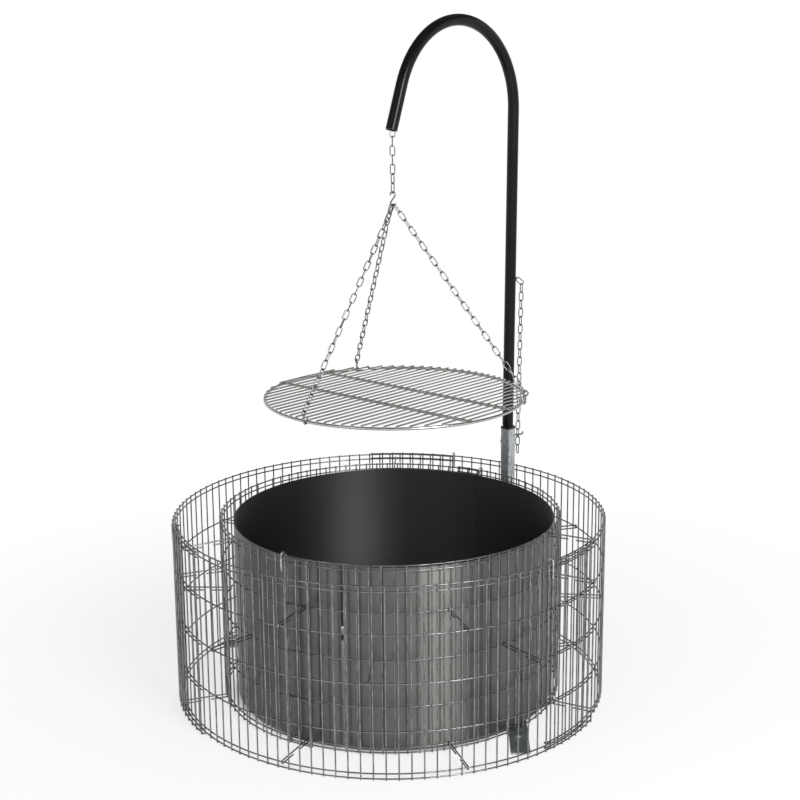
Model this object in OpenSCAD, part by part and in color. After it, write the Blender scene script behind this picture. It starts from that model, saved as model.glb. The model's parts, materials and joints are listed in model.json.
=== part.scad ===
// Swing grill: a welded mesh ring with a sheet liner round the fire, and a grate that
// hangs on chains from a swivelling gooseneck tube. Millimetres, +Z up, the origin on
// the ground at the centre of the ring.

/* [Mesh ring] */
// Height of the welded mesh
ring_height = 400; // [300:10:600]
// Radius of the uprights of the outer ring
outer_ring_r = 466; // [440:1:600]
// Radius of the uprights of the inner ring
inner_ring_r = 366; // [362:1:378]
// Wire of the mesh
wire_d = 3; // [2.5:0.1:4]
// Distance between two uprights
mesh_pitch = 25; // [20:0.5:40]
// Distance between two hoops
hoop_step = 100; // [80:1:120]
// Distance from the edge to the second hoop
edge_hoop = 12.5; // [10:0.5:20]
// Uprights in each outer panel
outer_bars = 47; // [44:1:49]
// Uprights in each inner panel
inner_bars = 49; // [47:1:51]
// Where the first outer panel starts, in degrees
outer_turn = 70.5; // [60:0.5:80]
// How far the last outer panel is turned on from an even spacing, in degrees
outer_slip = 2.5; // [-3:0.5:3]
// Where the first inner panel starts, in degrees
inner_turn = 54.5; // [50:0.5:60]

/* [Closing pins and spacers] */
// Rod of the closing pins
pin_d = 3.5; // [3:0.1:5]
// Length of the return leg of a closing pin
pin_return = 32; // [20:1:60]
// Rod of the spacers
spacer_d = 3; // [2.5:0.1:4]
// Length of the return leg of a spacer hook
spacer_return = 40; // [20:1:45]

/* [Liner] */
// Outer radius of the sheet liner
liner_r = 347; // [300:1:348]
// Sheet thickness of the liner
liner_wall = 2; // [1:0.1:3]
// Height of the liner
liner_height = 390; // [250:5:395]
// How far the liner stands off centre, to the right
liner_shift = 8; // [0:0.5:8]
// Where the two sheets leave the front gap, in degrees
liner_gap_turn = 253; // [240:1:260]
// Where the two sheets meet at the back, in degrees
liner_seam_turn = 56; // [50:1:70]
// Width of the front gap
liner_gap = 8.5; // [2:0.5:20]

/* [Foot] */
// Thickness of the runners
runner_t = 4; // [3:0.5:8]
// Width of a runner
runner_w = 40; // [30:1:60]
// Length of a runner from the post
runner_length = 668; // [560:1:670]
// Angle of each runner from the line through the ring centre, in degrees
runner_spread = 40.6; // [36:0.1:44]
// Anchor hole of a runner
anchor_hole_d = 11; // [8:0.5:14]
// Distance of the anchor hole from the runner's end
anchor_inset = 75; // [60:1:85]
// Thickness of the base plate
plate_t = 4; // [3:0.5:8]
// Side of the base plate
plate_w = 80; // [76:1:80]
// Thread of the foot screws
screw_d = 6; // [5:0.5:8]
// Pivot pin that the post turns on
pivot_d = 16; // [12:0.5:18]
// Length of the pivot pin
pivot_length = 250; // [150:5:300]
// Thickness of the thrust washer
washer_t = 2; // [1:0.5:4]

/* [Post] */
// Distance of the post from the ring centre
post_reach = 413.5; // [408:0.5:418]
// Direction of the post from the ring centre, in degrees
arm_angle = 48; // [45:1:50]
// Side of the square post
post_w = 25; // [24:0.5:30]
// Wall of the square post
post_wall = 2; // [1.5:0.1:3]
// Corner radius of the square post
post_corner = 3; // [2.5:0.1:4]
// Height of the post's top above the ground
post_top = 503; // [470:1:550]
// Thickness of the collar
collar_t = 5; // [3:0.5:10]
// Side of the square collar
collar_w = 26; // [25:0.5:30]
// Thread of the lock screw
lock_d = 8; // [6:0.5:10]

/* [Gooseneck] */
// Diameter of the gooseneck tube
tube_d = 25; // [24:0.5:30]
// Wall of the gooseneck tube
tube_wall = 2; // [1.5:0.1:2.5]
// Outward lean of the tube, in degrees
tube_lean = 0.83; // [0:0.01:2]
// Straight length of the tube above the collar
tube_straight = 728.5; // [600:0.5:900]
// Bend radius of the tube
bend_r = 193; // [175:1:200]
// Angle of the bend, in degrees
bend_angle = 161; // [150:1:170]
// Straight length after the bend
tube_end = 98; // [60:1:150]
// Hole where the chain leaves the tube
chain_hole_d = 16; // [15:0.5:18]

/* [Chain] */
// Wire of the chain
chain_wire = 2.4; // [2:0.1:2.6]
// Outer width of a link
link_w = 12; // [11:0.1:12.5]
// Distance from one link to the next
link_pitch = 19.15; // [18:0.05:20]
// Height in the tube where its chain turns to the hole
chain_turn_z = 374; // [350:1:400]
// Links that hang between the tube and the S-hook
hanging_links = 6; // [4:1:8]
// Links from the chain hole to the hook on the post
tail_links = 19; // [17:2:19]
// Links in each chain of the grate
bridle_links = 25; // [23:2:27]
// Distance of the tail chain from the post's centre at its hook
tail_reach = 25.5; // [24:0.5:30]

/* [Grate] */
// Radius of the grate rim, to the centre of its rod
rim_r = 277.5; // [240:0.5:290]
// Rod of the rim and of the cross bars
rim_d = 6; // [5:0.5:8]
// Rod of the grill bars
rod_d = 3.5; // [3:0.1:5]
// Distance between two grill bars
rod_pitch = 18.9; // [16:0.1:24]
// Distance of the cross bars from the centre
cross_offset = 65.75; // [50:0.25:90]
// Rod of the grate hooks
grate_hook_d = 3.5; // [3:0.1:4]
// Height of a hook's eye above the rim
eye_rise = 18; // [15:0.5:30]
// Rod of the S-hook
s_hook_d = 3.2; // [2.8:0.1:3.5]
// Width of the S-hook
s_hook_w = 14.6; // [14:0.1:18]
// Height of the S-hook
s_hook_h = 33; // [31:0.5:45]

/* [Hidden] */
$fn = 32;

// Names of the coordinates that are read from points
X = 0;
Y = 1;
Z = 2;

// Clearances: a weld or contact, a seat, a hook round a wire, a running fit
weld_gap = 0.1;
seat_gap = 0.3;
hook_gap = 0.2;
running_gap = 0.05;
cut = 1;

// A straight stretch laps its bend by this much, and is thicker by the swell
lap = 0.1;
swell = 0.02;
tube_swell = 0.2;

// Colours of the finishes
galvanised = "#9aa0a3";
liner_steel = "#6f7478";
zinc = "#b4b6b3";
stainless = "#a5a39c";
black_paint = "#17191b";
black_plastic = "#141414";
nylon = "#e6e4dc";

// Hoops lie inside the uprights, and their heights are counted from the panel's foot
upright_to_hoop = wire_d + weld_gap;
hoop_heights = [
    wire_d / 2, edge_hoop, hoop_step, 2 * hoop_step, 3 * hoop_step,
    ring_height - edge_hoop, ring_height - wire_d / 2
];
low_hoop = 1;
middle_hoop = 3;
upper_hoop = 4;
top_hoop = 5;

// An eye is bent round the closing pin, and the next panel's end passes outside it
eye_r = pin_d / 2 + hook_gap + wire_d / 2;
bar_gap = 0.8;
bend_gap = 0.6;
nest = max(upright_to_hoop + wire_d / 2, eye_r + wire_d / 2) + wire_d / 2 + bar_gap;
first_bar = eye_r + wire_d * 1.5 + bend_gap;
hoop_stub = 4;

// A ring: radius of its uprights, uprights per panel, where panels start, foot height
outer = [
    outer_ring_r, outer_bars, [outer_turn, outer_turn + 120, outer_turn + 240 + outer_slip], 0
];
inner = [inner_ring_r, inner_bars, [inner_turn, inner_turn + 180], runner_t];
function ring_radius(r) = r[0];
function ring_bars(r) = r[1];
function ring_panels(r) = len(r[2]);
function panel_start(r, k) = r[2][k];
function ring_foot(r) = r[3];
function hoop_radius(r) = ring_radius(r) - upright_to_hoop;
function to_angle(length, radius) = length / radius * 180 / PI;
function panel_span(r) =
    to_angle(first_bar + (ring_bars(r) - 1) * mesh_pitch, ring_radius(r));
function panel_middle(r, k) = panel_start(r, k) + panel_span(r) / 2;

// A panel's centre is shifted, so that its end lies outside the next panel's start
function panel_shift(r) = nest / (2 * sin(180 / ring_panels(r)));
function panel_centre(r, k) = panel_shift(r) * [
    cos(panel_middle(r, k) + 90), sin(panel_middle(r, k) + 90)
];
function hoop_line(r, k, turn) =
    hoop_radius(r) + panel_shift(r) * sin(turn - panel_middle(r, k));
function wrap(angle) = angle - 360 * floor(angle / 360);
function bar_number(r, k, turn) = let(
    slip = to_angle(panel_shift(r) * cos(turn - panel_middle(r, k)), ring_radius(r)),
    along = wrap(turn - panel_start(r, k) - slip + 20) - 20
) (along * PI / 180 * ring_radius(r) - first_bar) / mesh_pitch;
function has_panel(r, k, turn) = let(n = bar_number(r, k, turn))
    n > -1.2 && n < ring_bars(r) - 0.3;
function panels_at(r, turn) =
    [for (k = [0:ring_panels(r) - 1]) if (has_panel(r, k, turn)) k];

// Distance from an angle to the nearest upright, eye or panel end of a ring
function bar_distance(r, k, turn) = let(n = bar_number(r, k, turn))
    n < 0 ? abs(n) * mesh_pitch - first_bar * 0.9 : abs(n - round(n)) * mesh_pitch;
function free_way(r, turn) =
    min([for (k = panels_at(r, turn)) bar_distance(r, k, turn)]);
post_swing = post_w / sqrt(2);
function post_way(turn) =
    abs(turn - arm_angle) * PI / 180 * post_reach - post_swing - spacer_d / 2;
function spacer_way(turn) =
    min(free_way(outer, turn), free_way(inner, turn), post_way(turn));

// The free angle nearest to the middle of a mesh in both rings
spacer_search = 1.8;
spacer_search_step = 0.15;
function spacer_turn(turn) = let(
    choices = [for (d = [-spacer_search:spacer_search_step:spacer_search]) turn + d],
    ways = [for (c = choices) spacer_way(c)],
    best = max(ways)
) [for (i = [0:len(choices) - 1]) if (ways[i] == best) choices[i]][0];
spacer_gap = 0.45;
spacer_bend = wire_d / 2 + spacer_gap + spacer_d / 2;
spacer_step = 47;
bottom_start = 147;
middle_start = 170;
top_turns = [88, 208, 337];

// Closing pin: the bend goes over both panels, and the return leg hangs outside
pin_bend = (nest + wire_d / 2 + pin_d / 2 + bend_gap) / 2;
pin_clear = wire_d / 2 + pin_d / 2 + bar_gap;
pin_foot = 1;
pin_rise = 1;
function pin_twist(r, k) = let(
    next = (k + ring_panels(r) - 1) % ring_panels(r),
    turn = panel_start(r, k),
    n = bar_number(r, next, turn),
    off = (n - round(n)) * mesh_pitch,
    side = off < 0 ? -1 : 1
) abs(off) >= pin_clear ? 0 : side * asin((pin_clear - abs(off)) / (2 * pin_bend));

// Liner
seam_gap = 0.4;
liner_gap_angle = to_angle(liner_gap, liner_r);
seam_gap_angle = to_angle(seam_gap, liner_r);

// Foot
plate_top = runner_t + plate_t;
screw_reach = 34;
screw_side = 9;
nut_w = screw_d * 5 / 3;
nut_h = screw_d * 5 / 6;
screw_clear = 0.3;
screw_end = 2;
screw_head_d = 2 * screw_d;
screw_head_h = screw_d / 2;
post_foot = plate_top + washer_t + weld_gap;

// Post, bushes and spigot
post_inside = post_w - 2 * post_wall;
bush_length = 40;
bush_w = post_inside - 2 * running_gap;
bush_bore = pivot_d + 2 * running_gap;
pin_end = 5;
upper_bush_top = plate_top + pivot_length - pin_end;
spigot_gap = 0.1;
spigot_d = min(post_inside, tube_d - 2 * tube_wall) - 2 * spigot_gap;
spigot_down = 80;
spigot_up = 60;
shoulder_h = 4;
shoulder_d = tube_d - 2 * seat_gap;
collar_top = post_top + collar_t;
shoulder_top = collar_top + shoulder_h;
lock_down = 33;
lock_height = post_top - lock_down;
lock_head_h = lock_d * 0.6;
lock_head_d = lock_d * 1.6;

// Gooseneck: its frame stands on the shoulder, X points over the ring
tube_bore = tube_d - 2 * tube_wall;
tube_inset = 1.4;
tube_foot = [-post_reach + tube_inset, 0, shoulder_top + seat_gap];
end_turn = 180 - bend_angle;
bend_centre = [bend_r, 0, tube_straight];
function on_bend(radius, angle) = bend_centre + radius * [cos(angle), 0, sin(angle)];
end_way = [sin(end_turn), 0, -cos(end_turn)];
mouth = on_bend(bend_r, end_turn) + tube_end * end_way;
function arm_to_world(p) = let(a = arm_angle + 180) [
    p[X] * cos(a) - p[Y] * sin(a), p[X] * sin(a) + p[Y] * cos(a), p[Z]
];
function tube_to_arm(p) = tube_foot + [
    p[X] * cos(tube_lean) - p[Z] * sin(tube_lean),
    p[Y],
    p[X] * sin(tube_lean) + p[Z] * cos(tube_lean)
];
function tube_to_world(p) = arm_to_world(tube_to_arm(p));

// Chain links: the wires of two links meet at a point halfway between their centres
link_bend = (link_w - chain_wire) / 2;
link_reach = (link_pitch + chain_wire + weld_gap) / 2;
contact_back = (chain_wire + weld_gap) / 2;
link_straight = link_reach - link_bend;
link_pivot = link_bend - contact_back;
face_turn = 3;

// The chain runs inside the tube along the inner side of its bend
chain_gap = 0.6;
chain_side = (tube_bore - link_w) / 2 - chain_gap;
path_r = bend_r - chain_side;
path_arc = path_r * bend_angle * PI / 180;
mouth_path = mouth - chain_side * [cos(end_turn), 0, sin(end_turn)];
mouth_inset = 7;
inside_run = tube_straight + path_arc + tube_end - mouth_inset - chain_turn_z;
inside_links = 2 * round(inside_run / (2 * link_pitch) - 0.5) + 1;
function inside_point(s) =
    s < tube_end ? mouth_path - s * end_way :
    s < tube_end + path_arc ? on_bend(path_r, end_turn + to_angle(s - tube_end, path_r)) :
    [chain_side, 0, tube_straight - (s - tube_end - path_arc)];
inside_end = inside_point(mouth_inset + inside_links * link_pitch);
inside_twist = 70;

// The first link below the mouth leans half as much as the tube's end
mouth_lean = (end_turn + tube_lean) / 2;
mouth_top = tube_to_arm(inside_point(mouth_inset));
hang_top = mouth_top + link_pitch * [sin(mouth_lean), 0, -cos(mouth_lean)];
hang = arm_to_world(hang_top);
hang_z = hang[Z];

// The chain leaves the tube through its hole and comes down to the hook on the post.
// Where it bends, the lower link swings about the centre of the upper link's end.
tail_turn = -25;
tail_way = arm_angle + tail_turn;
leave_lean = 50;
inside_foot = [0, 0, inside_end[Z] - sqrt(link_pitch ^ 2 - chain_side ^ 2)];
leave_way = [
    -sin(leave_lean) * cos(tail_turn), -sin(leave_lean) * sin(tail_turn),
    -cos(leave_lean)
];
leave_from = inside_foot + link_pivot * (leave_way - unit(inside_foot - inside_end));
leave_to = leave_from + 2 * link_pitch * leave_way;
chain_hole_z = leave_from[Z]
    - ((tube_d - tube_wall) / 2 - norm([leave_from[X], leave_from[Y]])) / tan(leave_lean);
tail_top = tube_to_world(leave_to - link_pivot * (leave_way + [0, 0, 1]));
post_centre = post_reach * [cos(arm_angle), sin(arm_angle), 0];
tail_foot_flat = post_centre + tail_reach * [cos(tail_way), sin(tail_way), 0];
tail_run = tail_links * link_pitch;
tail_flat = norm([tail_foot_flat[X] - tail_top[X], tail_foot_flat[Y] - tail_top[Y]]);
tail_foot = [
    tail_foot_flat[X], tail_foot_flat[Y], tail_top[Z] - sqrt(tail_run ^ 2 - tail_flat ^ 2)
];
tail_end_count = 2;
chain_hook_d = 4;
end_swing_gap = 1;
chain_hook_z = tail_foot[Z] + contact_back + chain_wire / 2 + chain_hook_d / 2
    + end_swing_gap;
chain_hook_tip = 9;
chain_hook_bend = 4;

// Hanging chain and S-hook, which turn a little from link to link
hanging_twist = 17;
untwisted_links = 3;
s_hook_turn = -30;
s_hook_r = (s_hook_w - s_hook_d) / 2;
s_hook_top = hang_z - hanging_links * link_pitch - contact_back
    + (chain_wire + s_hook_d) / 2 + weld_gap;
s_upper = s_hook_top - s_hook_r;
s_lower = s_hook_top - (s_hook_h - s_hook_d) + s_hook_r;
s_lean = asin(2 * s_hook_r / (s_upper - s_lower));
s_shank = sqrt((s_upper - s_lower) ^ 2 - 4 * s_hook_r ^ 2);
s_tip = 20;

// Grate and its three chains: the direction of each and its place in the S-hook. Each is
// turned a little, so that the inner leg of its hook stands between two of the grill bars.
grate_hook_r = rim_d / 2 + hook_gap + grate_hook_d / 2;
grate_eye_r = 5;
inner_leg_r = rim_r - grate_hook_r;
function between_rods(way) =
    asin((floor(inner_leg_r * sin(way) / rod_pitch) + 0.5) * rod_pitch / inner_leg_r);
bridle_spread = 60;
bridle_ways = [
    arm_angle - between_rods(bridle_spread),
    arm_angle + between_rods(bridle_spread),
    arm_angle + 180 + between_rods(0)
];
bridle_places = [-30, -150, -90];
s_grip = (s_hook_d + chain_wire) / 2 + weld_gap;
eye_grip = grate_eye_r - (grate_hook_d + chain_wire) / 2 - weld_gap;
bridle_run = bridle_links * link_pitch + contact_back - s_grip + contact_back + eye_grip;
eye_radius = rim_r + grate_hook_r;
eye_z = s_lower - s_hook_r - sqrt(bridle_run ^ 2 - eye_radius ^ 2);
rim_z = eye_z - eye_rise;
rod_z = rim_z + (rim_d + rod_d) / 2 + weld_gap;
rod_past_rim = 1;
rod_count = 2 * floor((rim_r - rod_d) / rod_pitch) + 1;
function unit(v) = v / norm(v);
function flat_way(a) = [cos(a), sin(a), 0];
function eye_centre(k) = [hang[X], hang[Y], eye_z] + eye_radius * flat_way(bridle_ways[k]);
function s_wire(k) = [hang[X], hang[Y], s_lower]
    + s_hook_r * (cos(bridle_places[k]) * flat_way(s_hook_turn)
    + sin(bridle_places[k]) * [0, 0, 1]);
function s_tangent(k) = -sin(bridle_places[k]) * flat_way(s_hook_turn)
    + cos(bridle_places[k]) * [0, 0, 1];
function bridle_way(k) = unit(eye_centre(k) - s_wire(k));
function across(v, t) = unit(v - (v * t) * t);
function bridle_top(k) = let(d = bridle_way(k))
    s_wire(k) - s_grip * across(d, s_tangent(k)) + contact_back * d;
function bridle_foot(k) = let(d = bridle_way(k))
    eye_centre(k) - (eye_grip + contact_back) * d;
function bridle_roll(k) = let(
    d = unit(bridle_foot(k) - bridle_top(k)),
    tilt = acos(d[Z]),
    turn = atan2(d[Y], d[X]),
    b = unit(cross(s_tangent(k), d)),
    ex = [cos(tilt) * cos(turn), cos(tilt) * sin(turn), -sin(tilt)],
    ey = [-sin(turn), cos(turn), 0],
    roll = atan2(b * ey, b * ex)
) roll < 0 ? roll + 180 : roll;

module arc(radius, from, to, wire, round_fn = 32) {
    rotate([0, 0, from])
        rotate_extrude(angle = to - from, $fn = round_fn)
            translate([radius, 0])
                circle(d = wire, $fn = min($fn, 24));
}

// An arc in the plane of X and Z, with its angles from X towards Z
module upright_arc(radius, from, to, wire) {
    rotate([90, 0, 0])
        arc(radius, from, to, wire);
}

module in_panel(r, k) {
    centre = panel_centre(r, k);
    translate([centre[X], centre[Y], ring_foot(r)])
        rotate([0, 0, panel_start(r, k)])
            children();
}

module mesh_panel(r, k) {
    radius = ring_radius(r);
    line = hoop_radius(r);
    hoop_from = to_angle(eye_r + wire_d / 2 + weld_gap, line);
    hoop_to = panel_span(r) + to_angle(hoop_stub, line);
    in_panel(r, k) {
        for (i = [0:ring_bars(r) - 1])
            rotate([0, 0, to_angle(first_bar + i * mesh_pitch, radius)])
                translate([radius, 0, 0])
                    cylinder(h = ring_height, d = wire_d, $fn = 16);
        for (height = hoop_heights) {
            translate([0, 0, height])
                arc(line, hoop_from, hoop_to, wire_d, 180);
            translate([line, 0, height])
                arc(eye_r, 0, 360, wire_d);
        }
    }
}

module closing_pin(r, k) {
    line = hoop_radius(r);
    bend_z = ring_height + pin_rise;
    in_panel(r, k)
        translate([line, 0, 0])
            rotate([0, 0, pin_twist(r, k)]) {
                translate([0, 0, pin_foot])
                    cylinder(h = bend_z - pin_foot, d = pin_d);
                translate([pin_bend, 0, bend_z])
                    upright_arc(pin_bend, 0, 180, pin_d);
                translate([2 * pin_bend, 0, bend_z - pin_return])
                    cylinder(h = pin_return, d = pin_d);
            }
}

module closing_pins(r) {
    color(zinc)
        for (k = [0:ring_panels(r) - 1])
            closing_pin(r, k);
}

// A rod with a hook round a hoop at each end, level with the hoops that it ties
module spacer(turn, hoop) {
    from = min([for (k = panels_at(inner, turn)) hoop_line(inner, k, turn)]);
    to = max([for (k = panels_at(outer, turn)) hoop_line(outer, k, turn)]);
    rise = ring_foot(inner);
    length = norm([to - from, rise]);
    rotate([0, 0, turn])
        translate([from, 0, hoop_heights[hoop] + rise])
            rotate([0, atan2(rise, to - from), 0]) {
                translate([-lap, 0, spacer_bend])
                    rotate([0, 90, 0])
                        cylinder(h = length + 2 * lap, d = spacer_d + swell);
                upright_arc(spacer_bend, 90, 270, spacer_d);
                translate([length, 0, 0])
                    upright_arc(spacer_bend, -90, 90, spacer_d);
                for (start = [-lap, length - spacer_return])
                    translate([start, 0, -spacer_bend])
                        rotate([0, 90, 0])
                            cylinder(h = spacer_return + lap, d = spacer_d + swell);
            }
}

module spacers_round(first, hoop) {
    color(galvanised)
        for (i = [0:7])
            spacer(spacer_turn(wrap(first + i * spacer_step)), hoop);
}

module spacers_bottom() {
    spacers_round(bottom_start, low_hoop);
}

module spacers_middle() {
    spacers_round(middle_start, middle_hoop);
}

module spacers_upper() {
    spacers_round(bottom_start, upper_hoop);
}

module spacers_top() {
    color(galvanised)
        for (turn = top_turns)
            spacer(spacer_turn(turn), top_hoop);
}

module liner_sheet(from, to) {
    color(liner_steel)
        translate([liner_shift, 0, runner_t])
            rotate([0, 0, from])
                rotate_extrude(angle = to - from, $fn = 96)
                    translate([liner_r - liner_wall, 0])
                        square([liner_wall, liner_height]);
}

module liner_sheet_left() {
    liner_sheet(liner_seam_turn + seam_gap_angle / 2, liner_gap_turn - liner_gap_angle / 2);
}

module liner_sheet_right() {
    liner_sheet(liner_gap_turn + liner_gap_angle / 2,
                liner_seam_turn + 360 - seam_gap_angle / 2);
}

// The frame of the foot: origin at the post, X points to the ring's centre
module at_post() {
    translate(post_centre)
        rotate([0, 0, arm_angle + 180])
            children();
}

module runner(side) {
    color(galvanised)
        at_post()
            difference() {
                rotate([0, 0, side * runner_spread])
                    difference() {
                        translate([-runner_w, -runner_w / 2, 0])
                            cube([runner_length + runner_w, runner_w, runner_t]);
                        translate([runner_length - anchor_inset, 0, -cut])
                            cylinder(h = runner_t + 2 * cut, d = anchor_hole_d);
                        for (y = [-screw_side, screw_side])
                            translate([screw_reach, y, 0])
                                screw_hole();
                    }
                translate([-2 * runner_w, side > 0 ? seat_gap / 2 - 4 * runner_w :
                                          -seat_gap / 2, -cut])
                    cube([6 * runner_w, 4 * runner_w, runner_t + 2 * cut]);
            }
}

module screw_hole() {
    translate([0, 0, -cut])
        cylinder(h = plate_top + 2 * cut, d = screw_d + 2 * screw_clear);
    translate([0, 0, -cut])
        cylinder(h = screw_head_h + weld_gap + cut, d = screw_head_d + 2 * screw_clear);
}

module at_screws() {
    at_post()
        for (side = [-1, 1])
            for (y = [-screw_side, screw_side])
                rotate([0, 0, side * runner_spread])
                    translate([screw_reach, y, 0])
                        children();
}

module foot_runner_front() {
    runner(1);
}

module foot_runner_side() {
    runner(-1);
}

module foot_plate() {
    color(galvanised)
        difference() {
            at_post()
                translate([-plate_w / 2, -plate_w / 2, runner_t])
                    cube([plate_w, plate_w, plate_t]);
            at_screws()
                translate([0, 0, runner_t - cut])
                    cylinder(h = plate_t + 2 * cut, d = screw_d + 2 * screw_clear);
        }
}

module foot_screws() {
    color(zinc)
        at_screws() {
            cylinder(h = screw_head_h, d = screw_head_d);
            cylinder(h = plate_top + nut_h + screw_end, d = screw_d);
        }
}

module foot_nuts() {
    color(zinc)
        at_screws()
            translate([0, 0, plate_top])
                difference() {
                    cylinder(h = nut_h, d = nut_w / cos(30), $fn = 6);
                    translate([0, 0, -cut])
                        cylinder(h = nut_h + 2 * cut, d = screw_d + 2 * running_gap);
                }
}

module pivot_pin() {
    color(zinc)
        at_post()
            translate([0, 0, plate_top])
                cylinder(h = pivot_length, d = pivot_d, $fn = 48);
}

module thrust_washer() {
    color(nylon)
        at_post()
            translate([0, 0, plate_top])
                difference() {
                    cylinder(h = washer_t, d = 2 * post_swing);
                    translate([0, 0, -cut])
                        cylinder(h = washer_t + 2 * cut, d = pivot_d + 2 * seat_gap);
                }
}

module round_square(w, r) {
    square([w - 2 * r, w], center = true);
    square([w, w - 2 * r], center = true);
    for (x = [-1, 1])
        for (y = [-1, 1])
            translate([x, y] * (w / 2 - r))
                circle(r = r);
}

module post_tube() {
    color(galvanised)
        at_post()
            difference() {
                translate([0, 0, post_foot])
                    linear_extrude(post_top - post_foot)
                        difference() {
                            round_square(post_w, post_corner);
                            square(post_inside, center = true);
                        }
                translate([0, 0, lock_height])
                    rotate([90, 0, 0])
                        cylinder(h = post_w, d = lock_d + 2 * running_gap);
            }
}

module post_bush(top) {
    color(nylon)
        at_post()
            translate([0, 0, top - bush_length])
                difference() {
                    translate([-bush_w / 2, -bush_w / 2, 0])
                        cube([bush_w, bush_w, bush_length]);
                    translate([0, 0, -cut])
                        cylinder(h = bush_length + 2 * cut, d = bush_bore, $fn = 48);
                }
}

module post_bush_lower() {
    post_bush(post_foot + bush_length);
}

module post_bush_upper() {
    post_bush(upper_bush_top);
}

module collar() {
    color(black_plastic)
        at_post()
            translate([0, 0, post_top])
                difference() {
                    linear_extrude(collar_t)
                        round_square(collar_w, post_corner);
                    translate([0, 0, -cut])
                        cylinder(h = collar_t + 2 * cut, d = spigot_d + 2 * seat_gap);
                }
}

module lock_screw() {
    color(zinc)
        at_post()
            translate([0, 0, lock_height])
                rotate([90, 0, 0]) {
                    translate([0, 0, spigot_d / 2 + running_gap])
                        cylinder(h = post_w / 2 - spigot_d / 2 + seat_gap, d = lock_d);
                    translate([0, 0, post_w / 2 + running_gap])
                        cylinder(h = lock_head_h, d = lock_head_d / cos(30), $fn = 6);
                }
}

module in_arm() {
    rotate([0, 0, arm_angle + 180])
        children();
}

module in_tube() {
    in_arm()
        translate(tube_foot)
            rotate([0, -tube_lean, 0])
                children();
}

module mast_spigot() {
    color(zinc) {
        at_post() {
            translate([0, 0, post_top - spigot_down])
                cylinder(h = spigot_down + collar_t + shoulder_h / 2, d = spigot_d);
            translate([0, 0, collar_top])
                cylinder(h = shoulder_h, d = shoulder_d);
        }
        in_tube()
            translate([0, 0, -shoulder_h / 2])
                cylinder(h = shoulder_h / 2 + spigot_up, d = spigot_d - 2 * spigot_gap);
    }
}

// The bent tube as a solid bar of the given diameter, a little long at both ends
module gooseneck_bar(d, extra) {
    translate([0, 0, -extra])
        cylinder(h = tube_straight + extra + lap, d = d + tube_swell, $fn = 48);
    translate(bend_centre)
        upright_arc(bend_r, end_turn, 180, d, $fn = 48);
    translate(on_bend(bend_r, end_turn) - lap * end_way)
        rotate([0, bend_angle, 0])
            cylinder(h = tube_end + extra + lap, d = d + tube_swell, $fn = 48);
}

module gooseneck_tube() {
    color(black_paint)
        in_tube()
            difference() {
                gooseneck_bar(tube_d, 0);
                gooseneck_bar(tube_bore, cut);
                translate([0, 0, chain_hole_z])
                    rotate([0, 90, 180 + tail_turn])
                        cylinder(h = tube_d, d = chain_hole_d);
            }
}

module link() {
    for (side = [-1, 1])
        translate([side * link_bend, 0, -link_straight])
            cylinder(h = 2 * link_straight, d = chain_wire, $fn = 16);
    translate([0, 0, link_straight])
        upright_arc(link_bend, 0, 180, chain_wire, $fn = 16);
    translate([0, 0, -link_straight])
        upright_arc(link_bend, 180, 360, chain_wire, $fn = 16);
}

// A link between two contact points, rolled about its own length
module link_rolled(p, q, roll) {
    d = q - p;
    translate((p + q) / 2)
        rotate([0, acos(d[Z] / norm(d)), atan2(d[Y], d[X])])
            rotate([0, 0, roll])
                link();
}

// A steep link whose plane faces the given compass direction
module link_faced(p, q, turn) {
    d = q[Z] > p[Z] ? q - p : p - q;
    link_rolled((p + q - d) / 2, (p + q + d) / 2, turn - atan2(d[Y], d[X]));
}

module tube_chain() {
    color(zinc) {
        link_faced(arm_to_world(hang_top), arm_to_world(mouth_top), face_turn);
        in_tube()
            for (i = [0:inside_links - 1]) {
                p = inside_point(mouth_inset + i * link_pitch);
                q = inside_point(mouth_inset + (i + 1) * link_pitch);
                d = q - p;
                roll = (i % 2 == 0 ? 45 : -45) + inside_twist * i / inside_links;
                translate((p + q) / 2)
                    rotate([0, atan2(d[X], d[Z]), 0])
                        rotate([0, 0, roll])
                            link();
            }
        link_faced(tube_to_world(inside_end), tube_to_world(inside_foot),
                   tail_way);
        link_rolled(tube_to_world(leave_from), tube_to_world((leave_from + leave_to) / 2),
                    90);
        link_rolled(tube_to_world((leave_from + leave_to) / 2), tube_to_world(leave_to), 0);
    }
}

module tail_chain() {
    step = (tail_foot - tail_top) / tail_links;
    color(zinc)
        for (i = [0:tail_links - 1])
            link_faced(tail_top + i * step, tail_top + (i + 1) * step,
                       tail_way + (i % 2 == 0 ? 90 : 0));
}

module tail_end_links() {
    color(zinc)
        for (i = [0:tail_end_count - 1])
            translate(tail_foot - [0, 0, (i + 0.5) * link_pitch])
                rotate([0, 0, tail_way + i * 90])
                    link();
}

module chain_hook() {
    reach = tail_reach + chain_hook_tip;
    color(zinc)
        difference() {
            translate([post_centre[X], post_centre[Y], chain_hook_z])
                rotate([0, 0, tail_way]) {
                    translate([post_w / 4, 0, 0])
                        rotate([0, 90, 0])
                            cylinder(h = reach - post_w / 4, d = chain_hook_d);
                    translate([reach, 0, chain_hook_bend])
                        upright_arc(chain_hook_bend, -90, 0, chain_hook_d);
                    translate([reach + chain_hook_bend, 0, chain_hook_bend])
                        cylinder(h = chain_hook_d / 2, d = chain_hook_d);
                }
            at_post()
                translate([-post_w / 2, -post_w, 0])
                    cube([2 * post_w, 2 * post_w, post_top]);
        }
}

function hanging_turn(i) = face_turn + (i % 2 == 0 ? 90 : 0)
    + max(0, i + 1 - untwisted_links) * hanging_twist;

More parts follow.
